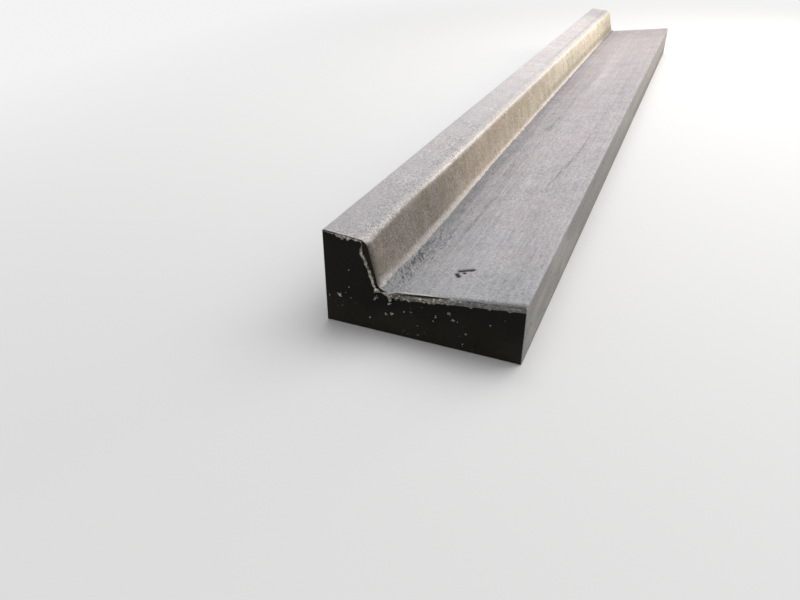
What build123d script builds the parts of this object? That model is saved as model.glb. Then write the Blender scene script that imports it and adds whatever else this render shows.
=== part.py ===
"""One bay of cast-in-place concrete kerb and gutter, poured as a single piece.

The kerb stands along the back of the bay and the gutter pan runs out from its foot to the lip, where the
road surface begins. Traffic drives over the lip, so the kerb's battered face looks towards +X and the
bay runs along Y. The end at -Y was cast square against a stop board. At the +Y end a contraction joint
parts this bay from the next: the bay keeps its half of the tooled groove, over the plain root of the joint.

Millimetres, +Z up. The origin is the centre of the bay's footprint, on the bed that it rests on.
"""

from build123d import *
import os

# Plan
bay_length = 4572.0
overall_width = 610.0

# Kerb: its top falls towards the gutter and its face leans back
kerb_top_width = 140.0
kerb_top_fall = 12.0
kerb_face_height = 152.0
kerb_face_batter = 38.0

# Gutter pan: it falls from the lip to the flow line at the foot of the kerb
gutter_fall = 51.0
flow_line_thickness = 141.0

# Rounded corners of the section, each the size of the tool that ran along it
nose_radius = 30.0
flow_line_radius = 25.0
edging_radius = 6.0

# Contraction joint: a groove cut square to the surface, shared by two bays
joint_groove_width = 5.0
joint_groove_depth = 38.0

# Heights above the bed
lip_height = flow_line_thickness + gutter_fall
nose_height = flow_line_thickness + kerb_face_height
back_height = nose_height + kerb_top_fall

# Positions across the bay
back_x = -overall_width / 2
nose_x = back_x + kerb_top_width
flow_line_x = nose_x + kerb_face_batter
lip_x = back_x + overall_width

# Positions along the bay
stop_end_y = -bay_length / 2
joint_y = bay_length / 2
groove_wall_y = joint_y - joint_groove_width / 2

# Slopes of the two surfaces that shed water into the flow line
kerb_top_slope = kerb_top_fall / kerb_top_width
gutter_slope = gutter_fall / (lip_x - flow_line_x)


def section_plane(y):
    """The plane across the bay at a place along it, which extrudes towards the stop end."""
    return Plane.XZ.offset(-y)


def top_line(run_on=0.0):
    """The line that the top follows from the back to the lip, run on past both sides by run_on."""
    return FilletPolyline(
        (back_x - run_on, back_height + run_on * kerb_top_slope),
        (nose_x, nose_height),
        (flow_line_x, flow_line_thickness),
        (lip_x + run_on, lip_height + run_on * gutter_slope),
        radius=[nose_radius, flow_line_radius],
    )


def section(run_on=0.0):
    """The section across the bay, run on past its back, its lip and its bed by run_on."""
    with BuildSketch() as outline:
        with BuildLine():
            top = top_line(run_on)
            Polyline(top @ 1, (lip_x + run_on, -run_on), (back_x - run_on, -run_on), top @ 0)
        make_face()
    return outline.sketch


def root_section():
    """The part of the section that lies deeper than the joint groove."""
    return offset(section(run_on=joint_groove_depth), amount=-joint_groove_depth)


def kerb_bay():
    """The bay as it was cast, with its tooled edges and its half of the joint groove."""
    with BuildPart() as bay:
        with BuildSketch(section_plane(groove_wall_y)):
            add(section())
        extrude(amount=groove_wall_y - stop_end_y)

        # The edging tool runs along the back and the lip, and over the top line at the joint
        long_edges = bay.edges().filter_by(Axis.Y)
        back_edge = long_edges.sort_by_distance((back_x, 0, back_height))[0]
        lip_edge = long_edges.sort_by_distance((lip_x, 0, lip_height))[0]
        groove_wall = bay.faces().sort_by(Axis.Y)[-1]
        joint_arris = groove_wall.edges().filter_by(Axis.Z, reverse=True).sort_by(Axis.Z)[1:]
        fillet([back_edge, lip_edge, *joint_arris], edging_radius)

        # Below the groove the concrete runs on to the crack that the groove starts
        with BuildSketch(section_plane(joint_y)):
            add(root_section())
        extrude(amount=joint_y - groove_wall_y)
    return bay.part


os.makedirs("parts", exist_ok=True)
kerb = kerb_bay()
kerb.label = "kerb_and_gutter"
export_step(kerb, "parts/kerb_and_gutter.step")
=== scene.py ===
"""The looks of one bay of cast-in-place concrete kerb and gutter.

The bay lies along Y. The kerb stands along its back at -X, and the gutter pan runs from the foot of the
kerb to the lip at +X. The end at -Y was cast against a stop board, and the end at +Y is a contraction joint.
All sizes are in metres.

A place on the top line is given by u, the distance over the line from the back edge, and v, the distance
along the bay from the stop end. Its depth is the distance from the top line.
"""

import logging
import math
import random
from collections.abc import Callable
from dataclasses import dataclass, field
from enum import Enum

import bmesh
import bpy
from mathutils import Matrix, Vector, noise


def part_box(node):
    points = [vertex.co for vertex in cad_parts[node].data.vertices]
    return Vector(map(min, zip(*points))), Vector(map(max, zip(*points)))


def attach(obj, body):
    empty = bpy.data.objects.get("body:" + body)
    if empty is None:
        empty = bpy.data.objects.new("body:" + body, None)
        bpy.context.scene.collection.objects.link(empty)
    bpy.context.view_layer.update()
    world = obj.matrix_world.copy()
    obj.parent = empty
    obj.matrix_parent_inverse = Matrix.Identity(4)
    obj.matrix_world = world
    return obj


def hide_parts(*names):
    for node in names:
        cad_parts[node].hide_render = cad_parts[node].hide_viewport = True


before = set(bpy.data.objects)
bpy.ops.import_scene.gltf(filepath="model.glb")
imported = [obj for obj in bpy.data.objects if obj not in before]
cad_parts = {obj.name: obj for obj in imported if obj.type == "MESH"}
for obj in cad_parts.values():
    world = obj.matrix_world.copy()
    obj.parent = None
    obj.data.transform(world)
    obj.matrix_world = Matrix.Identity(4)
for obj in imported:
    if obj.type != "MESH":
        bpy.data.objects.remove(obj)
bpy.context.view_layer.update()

log = logging.getLogger("kerb")
NODE = "kerb_and_gutter"
SAME = 1e-5  # Places nearer to each other than this are one place
NEAR = 1e-4  # Places nearer to a side than this are on it

Colour = tuple[float, float, float]
Sizes = tuple[float, float, float, float, float]
Mesh = bmesh.types.BMesh
Face = bmesh.types.BMFace
Edge = bmesh.types.BMEdge
Vert = bmesh.types.BMVert
WHITE: Colour = (1.0, 1.0, 1.0)


class Zone(Enum):
    """The surfaces of the bay that are finished alike. The value is the material's place on the mesh."""

    STRUCK = 0
    FORMED = 1
    STOP_END = 2
    JOINT_END = 3
    BED = 4
    GROOVE_WALL = 5


class Cells(Enum):
    """What a cell pattern measures. The value is the feature of the Voronoi node."""

    NEAREST = "F1"
    ROUNDED = "SMOOTH_F1"
    EDGE = "DISTANCE_TO_EDGE"


@dataclass(frozen=True)
class Bands:
    """Where the surfaces of the top line end, as values of u."""

    top: float
    nose: float
    face: float
    fillet: float
    pan: float


@dataclass(frozen=True)
class Section:
    """The section across the bay, by the sizes of its sharp corners and of the tools that rounded them."""

    back_x: float
    lip_x: float
    bed_z: float = 0.0
    kerb_top_width: float = 0.140
    kerb_top_fall: float = 0.012
    kerb_face_height: float = 0.152
    kerb_face_batter: float = 0.038
    gutter_fall: float = 0.051
    flow_line_thickness: float = 0.141
    nose_radius: float = 0.030
    flow_line_radius: float = 0.025
    edging_radius: float = 0.006

    @property
    def back(self) -> Vector:
        """The sharp corner at the back of the kerb's top."""
        return self.nose + Vector((-self.kerb_top_width, 0, self.kerb_top_fall))

    @property
    def nose(self) -> Vector:
        """The sharp corner between the kerb's top and its face."""
        height = self.flow_line_thickness + self.kerb_face_height
        return Vector((self.back_x + self.kerb_top_width, 0, self.bed_z + height))

    @property
    def flow_line(self) -> Vector:
        """The sharp corner at the foot of the kerb's face."""
        return self.nose + Vector((self.kerb_face_batter, 0, -self.kerb_face_height))

    @property
    def lip(self) -> Vector:
        """The sharp corner at the lip of the gutter pan."""
        return Vector((self.lip_x, 0, self.flow_line.z + self.gutter_fall))

    def corners(self) -> list[Vector]:
        """The six sharp corners in order, over the top line from its back and then round the bed."""
        bed = [Vector((x, 0, self.bed_z)) for x in (self.lip_x, self.back_x)]
        return [self.back, self.nose, self.flow_line, self.lip, *bed]

    def bands(self) -> Bands:
        """Find where each surface of the top line ends.

        Returns:
            The ends of the surfaces.
        """
        back, nose, flow_line, lip = self.corners()[:4]
        nose_turn = turn_at(back, nose, flow_line)
        foot_turn = turn_at(nose, flow_line, lip)
        nose_cut = self.nose_radius * math.tan(nose_turn / 2)
        foot_cut = self.flow_line_radius * math.tan(foot_turn / 2)
        top = (nose - back).length - nose_cut
        nose_end = top + self.nose_radius * nose_turn
        face = nose_end + (flow_line - nose).length - nose_cut - foot_cut
        fillet = face + self.flow_line_radius * foot_turn
        pan = fillet + (lip - flow_line).length - foot_cut
        return Bands(top=top, nose=nose_end, face=face, fillet=fillet, pan=pan)

    def path(self, depth: float = 0.0, segments: int = 8) -> list[Vector]:
        """Follow the top line, or the line at a depth below it.

        Args:
            depth: How far below the top line, square to it.
            segments: How many segments each round corner has.

        Returns:
            Points in the plane of the section, from the back to the lip.
        """
        corners = self.corners()[:4]
        ways = [(b - a).normalized() for a, b in zip(corners, corners[1:])]
        inward = [Vector((way.z, 0, -way.x)) for way in ways]
        points: list[Vector] = []
        for i, radius in ((1, self.nose_radius), (2, -self.flow_line_radius)):
            before, after = inward[i - 1], inward[i]
            middle = (before + after) / (1 + before.dot(after))
            if 0 < radius <= depth:
                points.append(corners[i] + depth * middle)
                continue
            centre = corners[i] + radius * middle
            turned = [before.slerp(after, j / segments) for j in range(segments + 1)]
            points += [centre - (radius - depth) * normal for normal in turned]
        start = points[0] + ways[0] * (self.back_x - points[0].x) / ways[0].x
        end = points[-1] + ways[2] * (self.lip_x - points[-1].x) / ways[2].x
        return [start, *points, end]

    def rounding(self) -> list[tuple[Vector, float]]:
        """Each corner that a tool rounded, with the tool's radius."""
        radii = (self.edging_radius, self.nose_radius, self.flow_line_radius, self.edging_radius)
        return list(zip(self.corners(), radii))


def turn_at(before: Vector, corner: Vector, after: Vector) -> float:
    """The angle by which an outline turns at a corner, in radians."""
    return (corner - before).angle(after - corner)


def smooth_step(value: float, low: float, high: float) -> float:
    """Rise smoothly from 0 at low to 1 at high, which may be below low for a fall."""
    t = min(max((value - low) / (high - low), 0.0), 1.0)
    return t * t * (3.0 - 2.0 * t)


def bell(value: float, middle: float, reach: float) -> float:
    """A smooth hump, 1 at the middle and nearly 0 at twice the reach from it."""
    return math.exp(-((value - middle) / reach) ** 2)


def waver(x: float, y: float, shift: float, octaves: int = 1) -> float:
    """Smooth noise from about -1 to 1 at a place, the same on each run."""
    place = Vector((x, y, shift))
    return noise.noise(place) if octaves == 1 else noise.fractal(place, 1.0, 2.0, octaves)


@dataclass(frozen=True)
class Wave:
    """Uneven waves over a surface: their height, and how many a metre holds each way."""

    height: float
    x: float
    y: float = 0.0
    shift: float = 0.0
    octaves: int = 1

    def at(self, x: float, y: float = 0.0) -> float:
        """The rise at a place, from about minus the height to the height."""
        return self.height * waver(x * self.x, y * self.y, self.shift, self.octaves)


def refine(bm: Mesh, wanted: Callable[[Face], bool], cuts: int) -> None:
    """Cut all the edges of some faces.

    Args:
        bm: The mesh.
        wanted: Tells whether a face's edges are to be cut.
        cuts: How many cuts each edge gets.
    """
    edges = dict.fromkeys(edge for face in bm.faces if wanted(face) for edge in face.edges)
    bmesh.ops.subdivide_edges(bm, edges=list(edges), cuts=cuts, use_grid_fill=True)


@dataclass
class TopLine:
    """The rounded top line as a path, on which each point of the section has its place."""

    points: list[Vector]
    known: dict[tuple[float, float], tuple[float, float]] = field(default_factory=dict)

    def place(self, co: Vector) -> tuple[float, float]:
        """Find a point's place, which is worked out once for all points in line along the bay.

        Args:
            co: The point.

        Returns:
            Its u and its depth.
        """
        key = (round(co.x, 5), round(co.z, 5))
        if key not in self.known:
            self.known[key] = self.nearest(Vector((co.x, 0, co.z)))
        return self.known[key]

    def nearest(self, point: Vector) -> tuple[float, float]:
        """Find the nearest place on the path to a point in the plane of the section.

        Args:
            point: The point.

        Returns:
            The place's u, and its distance from the point.
        """
        best, run = (0.0, math.inf), 0.0
        for a, b in zip(self.points, self.points[1:]):
            span = b - a
            share = min(max((point - a).dot(span) / span.length_squared, 0.0), 1.0)
            gap = (point - a - span * share).length
            if gap < best[1]:
                best = (run + share * span.length, gap)
            run += span.length
        return best


@dataclass
class KerbMesh:
    """Builds the bay's plain mesh from its section.

    The mesh is finest at the stop end, where the mortar rim is, and coarsens towards the joint.
    """

    section: Section
    stop_y: float
    joint_y: float
    groove_width: float = 0.005
    groove_depth: float = 0.038
    rows: int = 430
    first_row_share: float = 0.29
    row_growth: float = 1.45
    top_pitch: float = 0.0055
    side_pitch: float = 0.02
    bed_pitch: float = 0.06
    arc_segments: int = 8
    arris_segments: int = 3
    stop_arris_segments: int = 2
    stop_arris: float = 0.0016
    joint_arris: float = 0.0054
    stop_grid: float = 0.02
    root_grid: float = 0.010
    fine_reach: float = 0.024
    rim_rings: int = 12
    rim_ring_width: float = 0.0027
    rim_merge: float = 0.0014
    bm: Mesh = field(default_factory=bmesh.new)

    @property
    def groove_wall_y(self) -> float:
        """Where the wall of this bay's half of the joint groove stands."""
        return self.joint_y - self.groove_width / 2

    def build(self) -> Mesh:
        """Build the closed mesh of the bay, before its relief.

        Returns:
            The mesh, with its faces outwards.
        """
        self.draw_tube()
        self.round_corners()
        self.cut_columns()
        self.close_stop_end()
        self.close_joint_end()
        self.cut_rows()
        refine(self.bm, self.beside_stop_end, cuts=1)
        self.ring_stop_end()
        bmesh.ops.recalc_face_normals(self.bm, faces=self.bm.faces)
        return self.bm

    def draw_tube(self) -> None:
        """Draw the section at the stop end and extrude it to the wall of the joint groove."""
        corners = [self.bm.verts.new((p.x, self.stop_y, p.z)) for p in self.section.corners()]
        edges = [self.bm.edges.new((a, b)) for a, b in zip(corners, corners[1:] + corners[:1])]
        grown = bmesh.ops.extrude_edge_only(self.bm, edges=edges)["geom"]
        self.push(grown, self.groove_wall_y - self.stop_y)

    def push(self, grown: list[Vert | Edge | Face], distance: float) -> None:
        """Move what an extrusion made along the bay."""
        verts = [g for g in grown if isinstance(g, Vert)]
        bmesh.ops.translate(self.bm, vec=(0, distance, 0), verts=verts)

    def bevel(self, edges: list[Edge], offset: float, segments: int) -> None:
        """Round some edges off.

        Args:
            edges: The edges.
            offset: How far from each edge its rounding starts.
            segments: How many segments the rounding has.
        """
        bmesh.ops.bevel(
            self.bm, geom=edges, offset=offset, offset_type="OFFSET", segments=segments,
            profile=0.5, affect="EDGES", material=-1,
        )

    def long_edges(self) -> list[Edge]:
        """The edges that run over most of the length of the bay."""
        half = (self.joint_y - self.stop_y) / 2
        return [e for e in self.bm.edges if abs(e.verts[0].co.y - e.verts[1].co.y) > half]

    def ring_edges(self, y: float) -> list[Edge]:
        """The edges that lie across the bay at a place along it."""
        return [e for e in self.bm.edges if all(abs(v.co.y - y) < SAME for v in e.verts)]

    def faces_across(self, y: float) -> list[Face]:
        """The faces that lie across the bay at a place along it."""
        return [f for f in self.bm.faces if all(abs(v.co.y - y) < SAME for v in f.verts)]

    def face_across(self, y: float) -> Face:
        """The face with the most corners of those that lie across the bay at a place along it."""
        return max(self.faces_across(y), key=lambda face: len(face.verts))

    def on_top_line(self, edge: Edge) -> bool:
        """Find out whether an edge lies on the top line.

        Args:
            edge: An edge that lies across the bay.

        Returns:
            True where it does.
        """
        a, b = (v.co for v in edge.verts)
        middle_height = self.section.bed_z + self.section.flow_line_thickness / 2
        return abs(a.x - b.x) > SAME and min(a.z, b.z) > middle_height

    def beside_stop_end(self, face: Face) -> bool:
        """Whether a face of the top line lies beside the stop end."""
        away = face.calc_center_median().y - self.stop_y
        return 0 < away < self.fine_reach and any(self.on_top_line(e) for e in face.edges)

    def round_corners(self) -> None:
        """Round the long corners as the edging tools did."""
        outline = self.section.corners()
        for i, (corner, radius) in enumerate(self.section.rounding()):
            turn = turn_at(outline[i - 1], corner, outline[i + 1])
            starts = ((edge, edge.verts[0].co) for edge in self.long_edges())
            at_corner = [e for e, co in starts if (Vector((co.x, 0, co.z)) - corner).length < SAME]
            small = radius <= self.section.edging_radius
            segments = self.arris_segments if small else self.arc_segments
            self.bevel(at_corner, radius * math.tan(turn / 2), segments)

    def cut_columns(self) -> None:
        """Cut each long face into columns, finely over the top line and coarsely on the sides and bed."""
        pitched: dict[int, list[Edge]] = {}
        for edge in self.bm.edges:
            a, b = (v.co for v in edge.verts)
            if abs(a.y - b.y) > SAME:
                continue
            if max(a.z, b.z) < self.section.bed_z + SAME:
                pitch = self.bed_pitch
            elif abs(a.x - b.x) < SAME:
                pitch = self.side_pitch
            else:
                pitch = self.top_pitch
            cuts = math.ceil((a - b).length / pitch) - 1
            if cuts > 0:
                pitched.setdefault(cuts, []).append(edge)
        for cuts, edges in pitched.items():
            bmesh.ops.subdivide_edges(self.bm, edges=edges, cuts=cuts, use_grid_fill=True)

    def close_stop_end(self) -> None:
        """Close the stop end with one face and a slight arris."""
        bmesh.ops.contextual_create(self.bm, geom=self.ring_edges(self.stop_y))
        self.bevel(self.ring_edges(self.stop_y), self.stop_arris, self.stop_arris_segments)

    def close_joint_end(self) -> None:
        """Close the joint end: the rounded arris, the wall of the groove and the root that stands past it."""
        wall_y = self.groove_wall_y
        bmesh.ops.contextual_create(self.bm, geom=self.ring_edges(wall_y))
        arris = [e for e in self.ring_edges(wall_y) if self.on_top_line(e)]
        self.bevel(arris, self.joint_arris, self.arris_segments)
        line = self.section.path(self.groove_depth)
        wall = self.face_across(wall_y)
        ends = [self.split_side(wall, line[0]), self.split_side(wall, line[-1])]
        bmesh.utils.face_split(wall, *ends, coords=[(p.x, wall_y, p.z) for p in line[1:-1]])
        root = min(self.faces_across(wall_y), key=lambda f: min(v.co.z for v in f.verts))
        grown = bmesh.ops.extrude_face_region(self.bm, geom=[root])["geom"]
        self.push(grown, self.joint_y - wall_y)
        bmesh.ops.delete(self.bm, geom=[root], context="FACES_ONLY")
        self.cut_grid(self.face_across(self.joint_y), self.root_grid)

    def split_side(self, face: Face, place: Vector) -> Vert:
        """Add a vertex to the upright side of an end face.

        Args:
            face: The end face.
            place: A point in the plane of the section, on the side.

        Returns:
            The new vertex.

        Raises:
            ValueError: If no side of the face holds the point.
        """
        for edge in face.edges:
            low, high = sorted(edge.verts, key=lambda v: v.co.z)
            upright = all(abs(v.co.x - place.x) < SAME for v in edge.verts)
            if upright and low.co.z < place.z <= high.co.z:
                share = (place.z - low.co.z) / (high.co.z - low.co.z)
                return bmesh.utils.edge_split(edge, low, share)[1]
        raise ValueError(f"no side of the face holds {place}")

    def cut_grid(self, face: Face, pitch: float) -> None:
        """Cut an end face into a grid of squares.

        Args:
            face: The end face, which lies across the bay.
            pitch: About how wide the squares are.
        """
        geom = [face, *face.edges, *face.verts]
        for axis in (Vector((1, 0, 0)), Vector((0, 0, 1))):
            spots = [g.co.dot(axis) for g in geom if isinstance(g, Vert)]
            low, high = min(spots), max(spots)
            count = round((high - low) / pitch)
            for i in range(1, count):
                at = axis * (low + (high - low) * i / count)
                cut = bmesh.ops.bisect_plane(self.bm, geom=geom, plane_co=at, plane_no=axis, dist=SAME)
                geom = cut["geom"]

    def cut_rows(self) -> None:
        """Cut the columns into rows, and draw the rows together towards the stop end."""
        bmesh.ops.subdivide_edges(self.bm, edges=self.long_edges(), cuts=self.rows - 1, use_grid_fill=True)
        start = self.stop_y + self.stop_arris
        length = self.groove_wall_y - start
        slack = self.joint_arris / 2
        for vert in self.bm.verts:
            if start + slack < vert.co.y < self.groove_wall_y - self.joint_arris - slack:
                t = (vert.co.y - start) / length
                even = self.first_row_share * t
                vert.co.y = start + length * (even + (1 - self.first_row_share) * t ** self.row_growth)

    def ring_stop_end(self) -> None:
        """Put rings for the mortar rim round the stop end, and a plain grid inside them."""
        for _ in range(self.rim_rings):
            end = self.face_across(self.stop_y)
            bmesh.ops.inset_region(self.bm, faces=[end], thickness=self.rim_ring_width)
            inside = list(self.face_across(self.stop_y).verts)
            bmesh.ops.remove_doubles(self.bm, verts=inside, dist=self.rim_merge)
            inside = list(self.face_across(self.stop_y).verts)
            bmesh.ops.smooth_vert(self.bm, verts=inside, factor=0.5, use_axis_x=True, use_axis_z=True)
        self.cut_grid(self.face_across(self.stop_y), self.stop_grid)


@dataclass(frozen=True)
class Smear:
    """A mark that a tool dragged over the pan, from one place to another."""

    across: float
    along: float
    end_across: float
    end_along: float
    reach: float
    strength: float

    def amount(self, u: float, v: float) -> float:
        """How strongly the mark shows at a place.

        Args:
            u: The place across.
            v: The place along.

        Returns:
            A number from 0 to the strength.
        """
        span = Vector((self.end_across - self.across, self.end_along - self.along))
        offset = Vector((u - self.across, v - self.along))
        share = min(max(offset.dot(span) / span.length_squared, 0.0), 1.0)
        gap = (offset - span * share).length * (1.0 + 0.30 * waver(u * 240.0, v * 170.0, self.across * 50.0))
        return self.strength * bell(gap, 0.0, self.reach)


@dataclass(frozen=True)
class Pit:
    """An air hole in the top line."""

    across: float
    along: float
    reach: float

    def near(self, u: float, v: float, spare: float = 0.0) -> bool:
        """Whether a place, with some length to spare along the bay, is where the hole can show."""
        shown = 2.5 * self.reach
        return abs(v - self.along) < shown + spare and abs(u - self.across) < shown + 0.002


@dataclass(frozen=True)
class Relief:
    """What striking and trowelling left on the top line, and what marked it before it set."""

    bands: Bands
    pits: tuple[Pit, ...] = ()
    long_wave: Wave = Wave(0.0011, 3.0, 1.3)
    short_wave: Wave = Wave(0.0005, 24.0, 11.0, shift=3.0)
    nose_wander: Wave = Wave(0.0016, 7.0, 9.0, shift=7.0, octaves=4)
    face_wave: Wave = Wave(0.0011, 13.0, 12.0, shift=11.0, octaves=4)
    face_ripple: Wave = Wave(0.0007, 27.0, 5.0, shift=5.0)
    fillet_ridge: Wave = Wave(0.0011, 26.0, 40.0, shift=13.0, octaves=4)
    trowel_ridge: Wave = Wave(0.00035, 46.0, 2.4, shift=17.0)
    crumbs: Wave = Wave(0.0009, 75.0, 42.0, shift=19.0, octaves=4)
    nick_wave: Wave = Wave(1.0, 19.0, 3.0, shift=23.0)
    smear_break: Wave = Wave(0.55, 60.0, 9.0, shift=37.0, octaves=4)
    edge_nick: float = 0.0022
    gouge_middle: tuple[float, float] = (0.49, 0.16)
    gouge_spread: float = 0.06
    gouge_depth: float = 0.0045
    gouge_lip: float = 0.0008
    pit_depth: float = 0.0024
    shoulder_drop: float = 0.0050
    shoulder_reach: float = 0.020
    gouge: tuple[Smear, ...] = (
        Smear(0.472, 0.167, 0.508, 0.181, reach=0.0073, strength=1.0),
        Smear(0.469, 0.146, 0.480, 0.131, reach=0.0062, strength=1.0),
        Smear(0.488, 0.158, 0.491, 0.156, reach=0.0054, strength=0.85),
    )
    smears: tuple[Smear, ...] = (
        Smear(0.400, 0.40, 0.403, 0.78, reach=0.007, strength=0.55),
        Smear(0.392, 0.75, 0.398, 1.30, reach=0.006, strength=0.30),
        Smear(0.572, 0.93, 0.618, 1.45, reach=0.007, strength=0.75),
        Smear(0.575, 0.92, 0.583, 1.10, reach=0.016, strength=0.45),
        Smear(0.612, 1.40, 0.626, 2.05, reach=0.005, strength=0.45),
        Smear(0.402, 1.66, 0.424, 1.90, reach=0.013, strength=0.62),
        Smear(0.372, 1.00, 0.384, 1.16, reach=0.012, strength=0.50),
        Smear(0.465, 0.30, 0.470, 0.62, reach=0.004, strength=0.25),
        Smear(0.640, 2.30, 0.646, 3.10, reach=0.006, strength=0.35),
    )

    def height(self, u: float, v: float) -> float:
        """How far the surface stands above the true top line.

        Args:
            u: The place across.
            v: The place along.

        Returns:
            The height, which is negative for a hollow.
        """
        b = self.bands
        on_nose = bell(u, (b.top + b.nose) / 2, 0.028)
        on_face = smooth_step(u, b.top, b.nose) * smooth_step(u, b.fillet, b.face)
        on_fillet = bell(u, (b.face + b.fillet) / 2, 0.020)
        on_pan = smooth_step(u, b.face, b.fillet)
        near_foot = bell(u, b.fillet + 0.045, 0.045) * smooth_step(v, 0.45, 0.05)
        rise = self.long_wave.at(u, v) + self.short_wave.at(u, v)
        rise += on_nose * self.nose_wander.at(v, u) + on_face * self.face_wave.at(u, v)
        rise += on_face * self.face_ripple.at(v + u / 3, u) * smooth_step(v, 1.2, 2.8)
        rise += on_fillet * self.fillet_ridge.at(v, u) + on_pan * self.trowel_ridge.at(u, v)
        rise += near_foot * self.crumbs.at(u, v)
        slumped = max(1.5 * smooth_step(u, 0.42, 0.56), 0.7 * on_face)
        rise -= slumped * self.shoulder_drop * smooth_step(v, self.shoulder_reach, -0.004) ** 2
        return rise - self.nick(u, v) - self.pit_depth * self.pitted(u, v) - self.cut(u, v)

    def pitted(self, u: float, v: float) -> float:
        """How deep a place lies in one of the air holes, from 0 to 1."""
        gaps = [math.hypot(u - p.across, v - p.along) / p.reach for p in self.pits if p.near(u, v)]
        return bell(min(gaps), 0.0, 1.0) if gaps else 0.0

    def nick(self, u: float, v: float) -> float:
        """Find how deep the back and lip edges are nicked.

        Args:
            u: The place across.
            v: The place along.

        Returns:
            The depth of the nick, which is 0 away from the edges.
        """
        at_edge = bell(u, 0.0, 0.006) + bell(u, self.bands.pan, 0.006)
        if at_edge < 0.05:
            return 0.0
        return at_edge * self.edge_nick * smooth_step(self.nick_wave.at(v, u), 0.22, 0.6)

    def gouged(self, u: float, v: float) -> float:
        """How deep a place lies in the gouge, from 0 to 1."""
        return max(mark.amount(u, v) for mark in self.gouge)

    def cut(self, u: float, v: float) -> float:
        """Find how deep the gouge is.

        Args:
            u: The place across.
            v: The place along.

        Returns:
            The depth of the gouge, less the lip that it raised.
        """
        if max(abs(u - self.gouge_middle[0]), abs(v - self.gouge_middle[1])) > self.gouge_spread:
            return 0.0
        deep = self.gouged(u, v)
        raised = self.gouged(u - 0.004, v - 0.007) * (1.0 - deep)
        return self.gouge_depth * deep - self.gouge_lip * raised

    def shade(self, u: float, v: float) -> float:
        """Find the painted shade in the gouge and the pits, and at the stop end on the end of the face and
        the slumped edge of the pan, where it also stands for damp.

        Args:
            u: The place across.
            v: The place along.

        Returns:
            A number from 0 to 1.
        """
        b = self.bands
        sunk = max(min(1.25 * self.gouged(u, v), 1.0), smooth_step(self.pitted(u, v), 0.25, 0.65))
        # Painted shade on the end of the face, partly damp.
        on_face = smooth_step(u, b.top + 0.008, b.nose) * smooth_step(u, b.fillet, b.face - 0.01)
        # Painted shade, partly damp, on the slumped edge of the pan.
        slumped = 0.50 * smooth_step(u, 0.44, 0.56) * smooth_step(v, 0.014, 0.001)
        return max(sunk, 0.78 * on_face * smooth_step(v, 0.032, -0.006), slumped)

    def smear(self, u: float, v: float) -> float:
        """How strongly the tool marks show at a place, broken up along their length."""
        marked = max(mark.amount(u, v) for mark in self.smears)
        return marked * (0.65 + self.smear_break.at(u, v)) if marked > 0.02 else 0.0


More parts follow.
